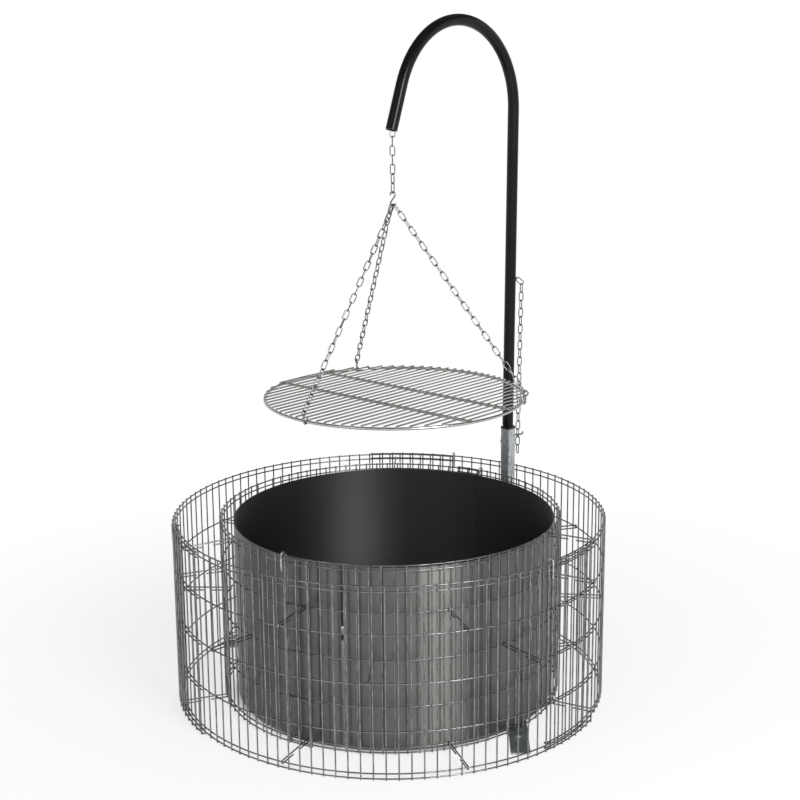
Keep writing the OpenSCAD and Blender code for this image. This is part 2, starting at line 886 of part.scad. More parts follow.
module hanging_link(i) {
    translate([hang[X], hang[Y], hang_z - (i + 0.5) * link_pitch])
        rotate([0, 0, hanging_turn(i)])
            link();
}

module hanging_first_link() {
    color(zinc)
        hanging_link(0);
}

module hanging_chain() {
    color(zinc)
        for (i = [1:hanging_links - 1])
            hanging_link(i);
}

module s_hook() {
    color(zinc)
        translate([hang[X], hang[Y], 0])
            rotate([0, 0, s_hook_turn]) {
                translate([0, 0, s_upper])
                    upright_arc(s_hook_r, -s_lean, 180 + s_tip, s_hook_d);
                translate([0, 0, s_lower])
                    upright_arc(s_hook_r, 180 - s_lean, 360 + s_tip, s_hook_d);
                translate([0, 0, (s_upper + s_lower) / 2])
                    rotate([0, s_lean, 0])
                        cylinder(h = s_shank + 2 * lap, d = s_hook_d + swell,
                                 center = true);
            }
}

module bridle_chain(k) {
    step = (bridle_foot(k) - bridle_top(k)) / bridle_links;
    start_roll = bridle_roll(k);
    color(zinc)
        for (i = [0:bridle_links - 1])
            link_rolled(bridle_top(k) + i * step, bridle_top(k) + (i + 1) * step,
                        start_roll + (90 - start_roll) * i / (bridle_links - 1)
                        + (i % 2) * 90);
}

module bridle_chain_right() {
    bridle_chain(0);
}

module bridle_chain_back() {
    bridle_chain(1);
}

module bridle_chain_front() {
    bridle_chain(2);
}

module grate_frame() {
    translate([hang[X], hang[Y], rim_z])
        children();
}

// A hook that grips the rim from below, with the eye for its chain above
module grate_hook() {
    tip = 7;
    translate([rim_r, 0, 0]) {
        upright_arc(grate_hook_r, 180, 360, grate_hook_d);
        translate([-grate_hook_r, 0, 0])
            cylinder(h = tip, d = grate_hook_d);
        translate([grate_hook_r, 0, 0])
            cylinder(h = eye_rise - grate_eye_r, d = grate_hook_d);
        translate([grate_hook_r, 0, eye_rise])
            upright_arc(grate_eye_r, 0, 360, grate_hook_d);
    }
}

module grate_hooks() {
    color(zinc)
        grate_frame()
            for (way = bridle_ways)
                rotate([0, 0, way])
                    grate_hook();
}

module grate_rim() {
    color(stainless)
        grate_frame()
            rotate_extrude($fn = 96)
                translate([rim_r, 0])
                    circle(d = rim_d, $fn = 24);
}

module grate_rods() {
    color(stainless)
        translate([hang[X], hang[Y], rod_z])
            rotate([0, 0, arm_angle])
                for (i = [0:rod_count - 1]) {
                    offset = (i - (rod_count - 1) / 2) * rod_pitch;
                    half = sqrt((rim_r + rod_past_rim) ^ 2 - offset ^ 2);
                    translate([-half, offset, 0])
                        rotate([0, 90, 0])
                            cylinder(h = 2 * half, d = rod_d, $fn = 16);
                }
}

module grate_cross_bars() {
    color(stainless)
        grate_frame()
            intersection() {
                cylinder(h = 2 * rim_d, r = rim_r - rim_d / 2 - weld_gap, center = true,
                         $fn = 96);
                rotate([0, 0, arm_angle + 90])
                    for (side = [-1, 1])
                        translate([-rim_r, side * cross_offset, 0])
                            rotate([0, 90, 0])
                                cylinder(h = 2 * rim_r, d = rim_d);
            }
}

module outer_panel(k) {
    color(galvanised)
        mesh_panel(outer, k);
}

module inner_panel(k) {
    color(galvanised)
        mesh_panel(inner, k);
}

outer_panel(0);  // outer_panel_back
outer_panel(1);  // outer_panel_left
outer_panel(2);  // outer_panel_right
inner_panel(0);  // inner_panel_left
inner_panel(1);  // inner_panel_right
closing_pins(outer);  // outer_closing_pins
closing_pins(inner);  // inner_closing_pins
spacers_bottom();
spacers_middle();
spacers_upper();
spacers_top();
liner_sheet_left();
liner_sheet_right();
foot_runner_front();
foot_runner_side();
foot_plate();
foot_screws();
foot_nuts();
pivot_pin();
thrust_washer();
post_tube();
post_bush_lower();
post_bush_upper();
collar();
lock_screw();
mast_spigot();
gooseneck_tube();
chain_hook();
tube_chain();
tail_chain();
tail_end_links();
hanging_first_link();
hanging_chain();
s_hook();
bridle_chain_right();
bridle_chain_back();
bridle_chain_front();
grate_hooks();
grate_rim();
grate_rods();
grate_cross_bars();
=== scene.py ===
# A swing grill over a fire ring of welded mesh: its welds, its finishes and a studio.
# Lengths are metres, +Z is up, and the origin is on the ground at the ring's centre.
import json
import math

import bmesh
import bpy
from bpy.props import (FloatProperty, FloatVectorProperty, IntProperty, PointerProperty)
from mathutils import Matrix, Vector

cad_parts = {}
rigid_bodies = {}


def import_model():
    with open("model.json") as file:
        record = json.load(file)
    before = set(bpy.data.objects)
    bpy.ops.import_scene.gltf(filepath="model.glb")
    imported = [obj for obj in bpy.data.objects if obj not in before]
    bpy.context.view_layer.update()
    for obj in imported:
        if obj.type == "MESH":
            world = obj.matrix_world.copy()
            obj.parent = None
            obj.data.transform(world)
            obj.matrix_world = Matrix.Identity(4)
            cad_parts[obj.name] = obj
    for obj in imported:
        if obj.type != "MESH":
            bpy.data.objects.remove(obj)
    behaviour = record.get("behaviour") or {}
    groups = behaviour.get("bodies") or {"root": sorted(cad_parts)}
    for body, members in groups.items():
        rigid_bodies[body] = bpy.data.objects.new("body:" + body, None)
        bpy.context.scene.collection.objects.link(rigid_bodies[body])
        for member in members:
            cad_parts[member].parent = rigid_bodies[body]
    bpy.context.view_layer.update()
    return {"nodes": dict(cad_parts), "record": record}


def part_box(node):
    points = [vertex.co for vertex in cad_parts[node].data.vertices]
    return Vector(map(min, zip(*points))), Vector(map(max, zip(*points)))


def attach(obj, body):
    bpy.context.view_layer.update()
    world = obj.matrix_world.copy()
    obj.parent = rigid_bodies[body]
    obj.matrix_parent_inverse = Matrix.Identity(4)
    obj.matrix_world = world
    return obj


bl_info = {
    "name": "Swing grill",
    "version": (1, 0, 0),
    "blender": (4, 5, 0),
    "location": "View3D > Sidebar > Swing grill",
    "description": "Welds, finishes and studio of a grate that hangs over a mesh fire ring",
    "category": "Object",
}

for left_over in list(bpy.data.objects):
    bpy.data.objects.remove(left_over)

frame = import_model()

MM = 0.001
LINER_OFFSET = 8 * MM  # The liner's centre stands this far in +X.
LINER_MIDDLE = 346 * MM  # Radius of the middle of its sheet.
# Where each panel of the mesh starts, in degrees from +X.
PANEL_STARTS = {
    "outer": {"outer_panel_back": 70.5, "outer_panel_left": 190.5, "outer_panel_right": 313.0},
    "inner": {"inner_panel_left": 54.5, "inner_panel_right": 234.5},
}
CHAINS = ("tail_chain", "tail_end_links", "hanging_first_link", "hanging_chain",
          "bridle_chain_right", "bridle_chain_back", "bridle_chain_front")
BODY_OF = {node: body for body, nodes in frame["record"]["behaviour"]["bodies"].items()
           for node in nodes}
FINISH_OF = {part["node"]: ("closing_pins" if part["node"].endswith("closing_pins")
                            else part["material_slot"])
             for part in frame["record"]["subparts"]}


def length(text, about, value, **more):
    """A size in metres that the panel shows with its unit."""
    return FloatProperty(name=text, description=about, default=value, subtype="DISTANCE",
                         unit="LENGTH", precision=4, **more)


def linear(code):
    """An sRGB hex colour as linear red, green, blue."""
    parts = [int(code[i:i + 2], 16) / 255 for i in (1, 3, 5)]
    return tuple(c / 12.92 if c <= 0.04045 else ((c + 0.055) / 1.055) ** 2.4 for c in parts)


def colour(text, about, code):
    """A finish colour that the panel shows as a swatch."""
    return FloatVectorProperty(name=text, description=about, default=linear(code),
                               subtype="COLOR", min=0, max=1)


class MeshRingSizes(bpy.types.PropertyGroup):
    """Sizes of the welded mesh, which place its welds."""
    wire: length("Wire", "Diameter of the mesh wire", 3 * MM)
    pitch: length("Upright spacing", "Distance between two uprights", 25 * MM)
    hoop_step: length("Hoop spacing", "Distance between two hoops", 100 * MM)
    edge_hoop: length("Edge hoop", "Height of the second hoop above the edge", 12.5 * MM)
    height: length("Height", "Height of the mesh", 400 * MM)
    outer_radius: length("Outer radius", "Radius of the outer uprights", 466 * MM)
    inner_radius: length("Inner radius", "Radius of the inner uprights", 366 * MM)
    first_bar: length("First upright", "From a panel's eye to its first upright", 8.55 * MM)
    nest: length("Nesting", "How far a panel's end lies outside the next one's start",
                 7.25 * MM)
    weld_gap: length("Weld gap", "Gap between the wires that the weld fills", 0.1 * MM)
    inner_foot: length("Inner foot", "Height that the inner ring stands at", 4 * MM)
    outer_bars: IntProperty(name="Outer uprights", default=47, min=1,
                            description="Uprights in each outer panel")
    inner_bars: IntProperty(name="Inner uprights", default=49, min=1,
                            description="Uprights in each inner panel")


class GrateSizes(bpy.types.PropertyGroup):
    """Sizes of the grate, which place its welds."""
    rim_radius: length("Rim radius", "Radius of the rim", 277.5 * MM)
    rim_rod: length("Rim rod", "Diameter of the rim and the cross bars", 6 * MM)
    bar_pitch: length("Bar spacing", "Distance between two grill bars", 18.9 * MM)
    cross_offset: length("Cross bar", "From the centre to a cross bar", 65.75 * MM)
    bar_count: IntProperty(name="Grill bars", default=29, min=1,
                           description="Number of grill bars")
    turn: FloatProperty(name="Direction", default=math.radians(48), subtype="ANGLE",
                        unit="ROTATION", description="Direction of the grill bars")


class WeldSizes(bpy.types.PropertyGroup):
    """Sizes of the weld beads."""
    mesh_bead: length("Mesh weld", "Radius of a weld on the mesh", 1.86 * MM)
    mesh_flatness: FloatProperty(name="Mesh weld flatness", default=0.45, min=0, max=1,
                                 description="Height of a mesh weld over its width")
    grate_bead: length("Grate weld", "Radius of a weld on the grate", 2.8 * MM)
    grate_flatness: FloatProperty(name="Grate weld flatness", default=0.4, min=0, max=1,
                                  description="Height of a grate weld over its width")
    seam_bead: length("Link seam", "Radius of the swelling on a chain link", 1.42 * MM)
    seam_inset: length("Seam inset", "From a link's side to the middle of the swelling",
                       1.2 * MM)
    seam_flatness: FloatProperty(name="Link seam length", default=0.55, min=0, max=1,
                                 description="Length of the swelling over its width")


class FinishColours(bpy.types.PropertyGroup):
    """Colours of the finishes."""
    mesh_wire: colour("Mesh wire", "Galvanised fence wire", "#949694")
    mesh_shade: colour("Mesh wire, dull", "Duller patches of the zinc", "#6b6d6c")
    sheet: colour("Liner outside", "Rolled sheet, outside", "#80817e")
    # Darker upright bands on the outside of the liner: painted reflection bands, placed by
    # noise.
    sheet_painted_reflection_band: colour("Liner outside, shade", "Darker bands of the rolled sheet", "#727370")
    # The liner's inner side is painted darker than its outside: painted shade of the inside of
    # the ring.
    sheet_inside_painted_shade: colour("Liner inside", "Rolled sheet on the fire side", "#5a5b58")
    spangle_light: colour("Zinc, light crystals", "Light crystals of the zinc bath", "#e4e8e9")
    spangle_dark: colour("Zinc, dark crystals", "Dark crystals of the zinc bath", "#a0a6a8")
    black_paint: colour("Tube paint", "Powder coat of the tube", "#0d0e0f")
    black_plastic: colour("Collar", "Moulded collar", "#0c0c0c")
    zinc: colour("Plated steel", "Zinc plated chain, hooks and screws", "#8b8d8c")
    zinc_shade: colour("Plated steel, dull", "Duller patches of the plating", "#787a79")
    pin_zinc: colour("Closing pins", "Newly plated closing pins", "#e2e4e2")
    stainless: colour("Grate rod", "Drawn stainless rod", "#d2d2cf")
    stainless_shade: colour("Grate rod, dull", "Duller stretches of the rod", "#a6a6a2")
    nylon: colour("Bushes", "Moulded bushes and washer", "#e2dfd6")
    turned: colour("Turned steel", "Blackened pin and spigot", "#1d1e1f")


class StudioSettings(bpy.types.PropertyGroup):
    """Camera, floor and lights."""
    camera_place: FloatVectorProperty(
        name="Camera", description="Place of the camera", subtype="XYZ", unit="LENGTH",
        default=(0.0234, -3.2433, 1.4391))
    camera_tilt: FloatProperty(
        name="Tilt", description="How far the camera looks down", subtype="ANGLE",
        unit="ROTATION", default=math.radians(13.71))
    camera_roll: FloatProperty(
        name="Roll", description="Turn of the camera about its view", subtype="ANGLE",
        unit="ROTATION", default=math.radians(-0.45))
    lens: FloatProperty(name="Lens", description="Focal length on a 36 mm frame",
                        default=70.32, min=10, subtype="DISTANCE_CAMERA")
    floor: colour("Floor", "Colour of the floor", "#ffffff")
    floor_size: length("Floor size", "Side of the floor", 60.0)
    lamp_size: length("Lamp size", "Side of each square lamp", 1.8)
    key_place: FloatVectorProperty(
        name="Key light", description="Place of the lamp on the left", subtype="XYZ",
        unit="LENGTH", default=(-2.6, -3.0, 2.8))
    key_aim: length("Key aim", "Height that the lamp on the left faces", 0.4)
    key_power: FloatProperty(
        name="Key power", description="Power of the lamp on the left", default=15, min=0,
        unit="POWER")
    front_place: FloatVectorProperty(
        name="Front light", description="Place of the lamp on the right", subtype="XYZ",
        unit="LENGTH", default=(2.1, -3.5, 2.4))
    front_aim: length("Front aim", "Height that the lamp on the right faces", 0.3)
    front_power: FloatProperty(
        name="Front power", description="Power of the lamp on the right", default=140, min=0,
        unit="POWER")


class SwingGrillSettings(bpy.types.PropertyGroup):
    """All settings of the swing grill."""
    mesh: PointerProperty(type=MeshRingSizes)
    grate: PointerProperty(type=GrateSizes)
    weld: PointerProperty(type=WeldSizes)
    finish: PointerProperty(type=FinishColours)
    studio: PointerProperty(type=StudioSettings)


def settings():
    """The settings of the scene, which the panel shows."""
    return bpy.context.scene.swing_grill


# Materials.
def add_node(tree, kind, inputs=None, **attributes):
    """Adds a node, sets its attributes, and fills or links its inputs."""
    node = tree.nodes.new(kind)
    for name, value in attributes.items():
        setattr(node, name, value)
    for socket, value in (inputs or {}).items():
        if isinstance(value, bpy.types.NodeSocket):
            tree.links.new(value, node.inputs[socket])
        else:
            node.inputs[socket].default_value = value
    return node


def combine(tree, operation, first, second):
    """Two values joined by an operation."""
    return add_node(tree, "ShaderNodeMath", {0: first, 1: second},
                    operation=operation).outputs["Value"]


def rgba(value):
    """A colour with full alpha."""
    return (*value, 1.0)


def new_material(name, sockets):
    """A material with one Principled shader, whose constant sockets are given."""
    material = bpy.data.materials.new(name)
    material.use_nodes = True
    tree = material.node_tree
    tree.nodes.clear()
    shader = add_node(tree, "ShaderNodeBsdfPrincipled", sockets)
    add_node(tree, "ShaderNodeOutputMaterial", {"Surface": shader.outputs["BSDF"]})
    return material, tree, shader


def object_point(tree, scale=(1, 1, 1), turn=0.0):
    """Object coordinates, turned about Z and then scaled."""
    point = add_node(tree, "ShaderNodeTexCoord")
    turned = add_node(tree, "ShaderNodeMapping",
                      {"Vector": point.outputs["Object"], "Rotation": (0, 0, turn)})
    return add_node(tree, "ShaderNodeMapping",
                    {"Vector": turned.outputs["Vector"], "Scale": scale}
                    ).outputs["Vector"]


def noise_at(tree, vector, scale, detail, **inputs):
    """Noise between 0 and 1, whose scale is 1 / metres."""
    return add_node(tree, "ShaderNodeTexNoise",
                    {"Vector": vector, "Scale": scale, "Detail": detail, **inputs}
                    ).outputs["Fac"]


def spread(tree, value, low=0.0, high=1.0, start=0.0, end=1.0, ease="LINEAR"):
    """A value between low and high, spread from start to end."""
    return add_node(tree, "ShaderNodeMapRange",
                    {"Value": value, "From Min": low, "From Max": high, "To Min": start,
                     "To Max": end}, interpolation_type=ease).outputs["Result"]


def blend(tree, factor, first, second):
    """From the first colour to the second."""
    return add_node(tree, "ShaderNodeMix", {"Factor": factor, "A": first, "B": second},
                    data_type="RGBA").outputs["Result"]


def patchy(tree, shader, vector, scale, dark, light, rough):
    """Blends two colours and two roughnesses by one noise, which it returns."""
    low, high = 0.35, 0.65
    noise = noise_at(tree, vector, scale=scale, detail=3.0, Roughness=0.55)
    shade = blend(tree, spread(tree, noise, low=low, high=high), rgba(dark), rgba(light))
    tree.links.new(shade, shader.inputs["Base Color"])
    gloss = spread(tree, noise, low=low, high=high, start=rough[0], end=rough[1])
    tree.links.new(gloss, shader.inputs["Roughness"])
    return noise


def bump(tree, shader, height, depth):
    """Raises the surface by the height times the depth, in metres."""
    node = add_node(tree, "ShaderNodeBump",
                    {"Height": height, "Distance": depth, "Strength": 1.0})
    tree.links.new(node.outputs["Normal"], shader.inputs["Normal"])


def galvanised_wire(f):
    """Drawn wire, welded and then dipped: grey zinc, dull in patches about 20 mm long."""
    material, tree, shader = new_material("galvanised_fence_wire", {"Metallic": 1.0})
    patchy(tree, shader, object_point(tree), scale=50, dark=f.mesh_shade,
           light=f.mesh_wire, rough=(0.28, 0.20))
    bump(tree, shader, noise_at(tree, object_point(tree), scale=900, detail=2.0), 0.06 * MM)
    return material


def spangled_zinc(f):
    """Hot-dip galvanised bar and tube: zinc crystals about 5 mm across, each its own grey."""
    material, tree, shader = new_material("hot_dip_zinc_spangle", {"Metallic": 1.0})
    cells = add_node(tree, "ShaderNodeTexVoronoi",
                     {"Vector": object_point(tree), "Scale": 190, "Randomness": 1.0})
    value = add_node(tree, "ShaderNodeSeparateColor", {"Color": cells.outputs["Color"]})
    cloud = noise_at(tree, object_point(tree), scale=35, detail=3.0)
    mixed = combine(tree, "MULTIPLY", value.outputs["Red"], cloud)
    shade = blend(tree, mixed, rgba(f.spangle_dark), rgba(f.spangle_light))
    tree.links.new(shade, shader.inputs["Base Color"])
    rough = spread(tree, value.outputs["Green"], start=0.34, end=0.52)
    tree.links.new(rough, shader.inputs["Roughness"])
    bump(tree, shader, cells.outputs["Distance"], 0.08 * MM)
    return material


def rolled_sheet(f):
    """Rolled steel sheet: satin, with faint upright bands of painted reflection outside, and a
    darker inside of painted shade.
    """
    material, tree, shader = new_material("rolled_satin_sheet",
                                          {"Metallic": 1.0, "Anisotropic": 0.95})
    # Noise stretched upright paints reflection bands of the surroundings on the outside of the
    # liner.
    bands = noise_at(tree, object_point(tree, scale=(1, 1, 0.02)), scale=5, detail=2.0,
                     Roughness=0.55)
    sheet_with_painted_bands = blend(tree, spread(tree, bands, low=0.30, high=0.70), rgba(f.sheet_painted_reflection_band),
                   rgba(f.sheet))
    centred = add_node(tree, "ShaderNodeMapping",
                       {"Vector": add_node(tree, "ShaderNodeTexCoord").outputs["Object"],
                        "Location": (-LINER_OFFSET, 0, 0), "Scale": (1, 1, 0)})
    radius = add_node(tree, "ShaderNodeVectorMath", {0: centred.outputs["Vector"]},
                      operation="LENGTH")
    outside = spread(tree, radius.outputs["Value"], low=LINER_MIDDLE - 0.5 * MM,
                     high=LINER_MIDDLE + 0.5 * MM)
    # Inward of the middle of the sheet the base colour is the painted shade of the inner side.
    tree.links.new(blend(tree, outside, rgba(f.sheet_inside_painted_shade), sheet_with_painted_bands),
                   shader.inputs["Base Color"])
    tree.links.new(spread(tree, outside, start=0.74, end=0.37), shader.inputs["Roughness"])
    grain = noise_at(tree, object_point(tree, scale=(1, 1, 0.05)), scale=700, detail=2.0)
    bump(tree, shader, grain, 0.007 * MM)
    upright = add_node(tree, "ShaderNodeCombineXYZ", {"Z": 1.0})
    tree.links.new(upright.outputs["Vector"], shader.inputs["Tangent"])
    return material


def powder_black(f):
    """Black powder coat: a smooth gloss over a fine orange peel of about 2 mm."""
    material, tree, shader = new_material("black_powder_coat", {
        "Metallic": 0.0, "IOR": 1.5, "Specular IOR Level": 0.18,
        "Base Color": rgba(f.black_paint)})
    bump(tree, shader, noise_at(tree, object_point(tree), scale=520, detail=1.0), 0.05 * MM)
    film = noise_at(tree, object_point(tree), scale=14, detail=2.0)
    tree.links.new(spread(tree, film, start=0.16, end=0.30), shader.inputs["Roughness"])
    return material


def plated_zinc(f):
    """Zinc plated wire: bright, with duller patches about 15 mm long."""
    material, tree, shader = new_material("bright_zinc_plate", {"Metallic": 1.0})
    patchy(tree, shader, object_point(tree), scale=60, dark=f.zinc_shade,
           light=f.zinc, rough=(0.26, 0.20))
    return material


def plated_pin(f):
    """Newly plated rod of the closing pins: brighter than the chain, with faint patches."""
    material, tree, shader = new_material("bright_zinc_pin", {"Metallic": 1.0})
    patchy(tree, shader, object_point(tree), scale=40, dark=f.zinc,
           light=f.pin_zinc, rough=(0.42, 0.34))
    return material


def drawn_stainless(f):
    """Drawn stainless rod: satin, with the faint length-wise lines of the die."""
    material, tree, shader = new_material("drawn_stainless_rod", {"Metallic": 1.0})
    along = object_point(tree, scale=(0.03, 1, 1), turn=-settings().grate.turn)
    lines = patchy(tree, shader, along, scale=420, dark=f.stainless_shade,
                   light=f.stainless, rough=(0.26, 0.18))
    bump(tree, shader, lines, 0.03 * MM)
    return material


def moulded(name, value, rough, grain_scale):
    """Injection moulded plastic with a fine spark-eroded grain."""
    material, tree, shader = new_material(name, {"Metallic": 0.0, "IOR": 1.47,
                                                 "Base Color": rgba(value)})
    grain = noise_at(tree, object_point(tree), scale=grain_scale, detail=2.0)
    tree.links.new(spread(tree, grain, start=rough - 0.08, end=rough + 0.08),
                   shader.inputs["Roughness"])
    bump(tree, shader, grain, 0.04 * MM)
    return material


def turned_steel(f):
    """Turned and blackened bar: rings of the tool round the axis, under a millimetre apart."""
    material, tree, shader = new_material("blackened_turned_steel", {
        "Metallic": 1.0, "Roughness": 0.28, "Base Color": rgba(f.turned)})
    rings = add_node(tree, "ShaderNodeTexWave",
                     {"Vector": object_point(tree), "Scale": 318, "Distortion": 0.4},
                     bands_direction="Z")
    bump(tree, shader, rings.outputs["Fac"], 0.03 * MM)
    return material


FINISHES = {
    "mesh_wire": galvanised_wire,
    "galvanised_bar": spangled_zinc,
    "galvanised_post": spangled_zinc,
    "liner_sheet": rolled_sheet,
    "black_tube": powder_black,
    "zinc_rod": plated_zinc,
    "chain_zinc": plated_zinc,
    "closing_pins": plated_pin,
    "grate_steel": drawn_stainless,
    "turned_steel": turned_steel,
    "nylon": lambda f: moulded("moulded_nylon", f.nylon, 0.45, 900),
    "black_plastic": lambda f: moulded("moulded_black_plastic", f.black_plastic, 0.4, 700),
}
MADE_FINISHES = {}


def finish_for(key):
    """The material of a finish, made once for each function that makes one."""
    maker = FINISHES[key]
    if maker not in MADE_FINISHES:
        MADE_FINISHES[maker] = maker(settings().finish)
    return MADE_FINISHES[maker]


# Building blocks.
def deselect():
    """Leaves edit mode and selects nothing."""
    if bpy.context.object and bpy.context.object.mode != "OBJECT":
        bpy.ops.object.mode_set(mode="OBJECT")
    bpy.ops.object.select_all(action="DESELECT")


def weld_bead(radius, flatness):
    """One squashed bead of weld metal at the origin: an eight-sided ball, flattened in Z."""
    deselect()
    bpy.ops.mesh.primitive_uv_sphere_add(segments=8, ring_count=5, radius=radius)
    bead = bpy.context.object
    bpy.ops.object.mode_set(mode="EDIT")
    bpy.ops.mesh.select_all(action="SELECT")
    bpy.ops.transform.resize(value=(1, 1, flatness))
    bpy.ops.object.mode_set(mode="OBJECT")
    bpy.ops.object.shade_smooth()
    return bead


def copies(name, pattern, places, body, slot):
    """One mesh of a pattern copied to each place, and the pattern is removed."""
    points = [v.co.copy() for v in pattern.data.vertices]
    faces = [tuple(p.vertices) for p in pattern.data.polygons]
    vertices, polygons = [], []
    for place in places:
        start = len(vertices)
        vertices += [place @ point for point in points]
        polygons += [tuple(start + i for i in face) for face in faces]
    mesh = bpy.data.meshes.new(name)
    mesh.from_pydata(vertices, [], polygons)
    mesh.shade_smooth()
    piece = bpy.data.objects.new(name, mesh)
    bpy.context.scene.collection.objects.link(piece)
    bpy.data.objects.remove(pattern)
    mesh.materials.append(finish_for(slot))
    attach(piece, body)


def solids_of(node):
    """The points of each separate solid of a node."""
    shape = bmesh.new()
    shape.from_mesh(frame["nodes"][node].data)
    bmesh.ops.remove_doubles(shape, verts=shape.verts, dist=0.001 * MM)
    left = set(shape.verts)
    solids = []
    while left:
        reached = [left.pop()]
        solid = []
        while reached:
            vertex = reached.pop()
            solid.append(vertex.co.copy())
            for edge in vertex.link_edges:
                other = edge.other_vert(vertex)
                if other in left:
                    left.remove(other)
                    reached.append(other)
        solids.append(solid)
    shape.free()
    return solids


# Welds.
def mesh_crossings(radius, bars, start, panels, foot):
    """Where each upright of a panel crosses its hoops, as in the model of the ring."""
    m = settings().mesh
    span = (m.first_bar + (bars - 1) * m.pitch) / radius
    shift = m.nest / (2 * math.sin(math.pi / panels))
    middle = start + span / 2 + math.pi / 2
    centre = Vector((shift * math.cos(middle), shift * math.sin(middle), foot))
    hoops = round(m.height / m.hoop_step)
    heights = [m.wire / 2, m.edge_hoop] + [m.hoop_step * i for i in range(1, hoops)]
    heights += [m.height - m.edge_hoop, m.height - m.wire / 2]
    weld = radius - (m.wire + m.weld_gap) / 2
    for i in range(bars):
        turn = start + (m.first_bar + i * m.pitch) / radius
        for height in heights:
            place = centre + Vector((weld * math.cos(turn), weld * math.sin(turn), height))
            yield (Matrix.Translation(place) @ Matrix.Rotation(turn, 4, "Z")
                   @ Matrix.Rotation(math.pi / 2, 4, "Y"))


class SWINGGRILL_OT_mesh_welds(bpy.types.Operator):
    """Adds the resistance welds where the uprights cross the hoops"""
    bl_idname = "swing_grill.mesh_welds"
    bl_label = "Mesh welds"

    def execute(self, context):
        m, weld = settings().mesh, settings().weld
        rings = {"outer": (m.outer_radius, m.outer_bars, 0.0),
                 "inner": (m.inner_radius, m.inner_bars, m.inner_foot)}
        for ring, starts in PANEL_STARTS.items():
            radius, bars, foot = rings[ring]
            for node, start in starts.items():
                places = mesh_crossings(radius, bars, math.radians(start), len(starts), foot)
                bead = weld_bead(weld.mesh_bead, weld.mesh_flatness)
                copies(node + "_welds", bead, places, BODY_OF[node], "mesh_wire")
        return {"FINISHED"}


class SWINGGRILL_OT_grate_welds(bpy.types.Operator):
    """Adds the welds of the grill bars on the rim and on the cross bars"""
    bl_idname = "swing_grill.grate_welds"
    bl_label = "Grate welds"

    def execute(self, context):
        g, weld = settings().grate, settings().weld
        low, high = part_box("grate_rim")
        centre = (low + high) / 2
        grate = Matrix.Translation(centre) @ Matrix.Rotation(g.turn, 4, "Z")
        level = g.rim_rod / 2
        places = []
        for i in range(g.bar_count):
            y = (i - (g.bar_count - 1) / 2) * g.bar_pitch
            end = math.sqrt(g.rim_radius ** 2 - y ** 2)
            for x in (-end, -g.cross_offset, g.cross_offset, end):
                places.append(grate @ Matrix.Translation((x, y, level)))
        reach = math.sqrt((g.rim_radius - g.rim_rod / 2) ** 2 - g.cross_offset ** 2)
        for x in (-g.cross_offset, g.cross_offset):
            for y in (-reach, reach):
                places.append(grate @ Matrix.Translation((x, y, 0))
                              @ Matrix.Rotation(math.pi / 2, 4, "X"))
        bead = weld_bead(weld.grate_bead, weld.grate_flatness)
        copies("grate_welds", bead, places, BODY_OF["grate_rim"], "grate_steel")
        return {"FINISHED"}


class SWINGGRILL_OT_link_seams(bpy.types.Operator):
    """Adds the swelling where each chain link is butt welded, half way up one side"""
    bl_idname = "swing_grill.link_seams"
    bl_label = "Link seams"

    def execute(self, context):
        weld = settings().weld
        for node in CHAINS:
            places = []
            for solid in solids_of(node):
                middle = sum(solid, Vector()) / len(solid)
                tip = max(solid, key=lambda p: (p - middle).length)
                along = (tip - middle).normalized()
                flat = [p - middle - along * (p - middle).dot(along) for p in solid]
                across = max(flat, key=lambda p: p.length)
                side = middle + across.normalized() * (across.length - weld.seam_inset)
                turn = along.to_track_quat("Z", "Y").to_matrix().to_4x4()
                places.append(Matrix.Translation(side) @ turn)
            seam = weld_bead(weld.seam_bead, weld.seam_flatness)
            copies(node + "_seams", seam, places, BODY_OF[node], "chain_zinc")
        return {"FINISHED"}


class SWINGGRILL_OT_finishes(bpy.types.Operator):
    """Gives every piece of the model its finish"""
    bl_idname = "swing_grill.finishes"
    bl_label = "Finishes"

    def execute(self, context):
        for node, piece in frame["nodes"].items():
            piece.data.materials.clear()
            piece.data.materials.append(finish_for(FINISH_OF[node]))
            deselect()
            piece.select_set(True)
            context.view_layer.objects.active = piece
            bpy.ops.object.shade_smooth_by_angle(angle=math.radians(35))
        return {"FINISHED"}


# Studio.
def soft_light(name, place, target, size, power):
    """A square soft box that faces a point."""
    deselect()
    bpy.ops.object.light_add(type="AREA", location=place)
    lamp = bpy.context.object
    lamp.name = name
    lamp.data.shape = "SQUARE"
    lamp.data.size = size
    lamp.data.energy = power
    lamp.rotation_euler = (Vector(target) - Vector(place)).to_track_quat("-Z", "Y").to_euler()


def mirrored_ray(tree, path):
    """1 where a reflection or a refraction looks, and otherwise 0."""
    return combine(tree, "MAXIMUM", path.outputs["Is Glossy Ray"],
                   path.outputs["Is Transmission Ray"])


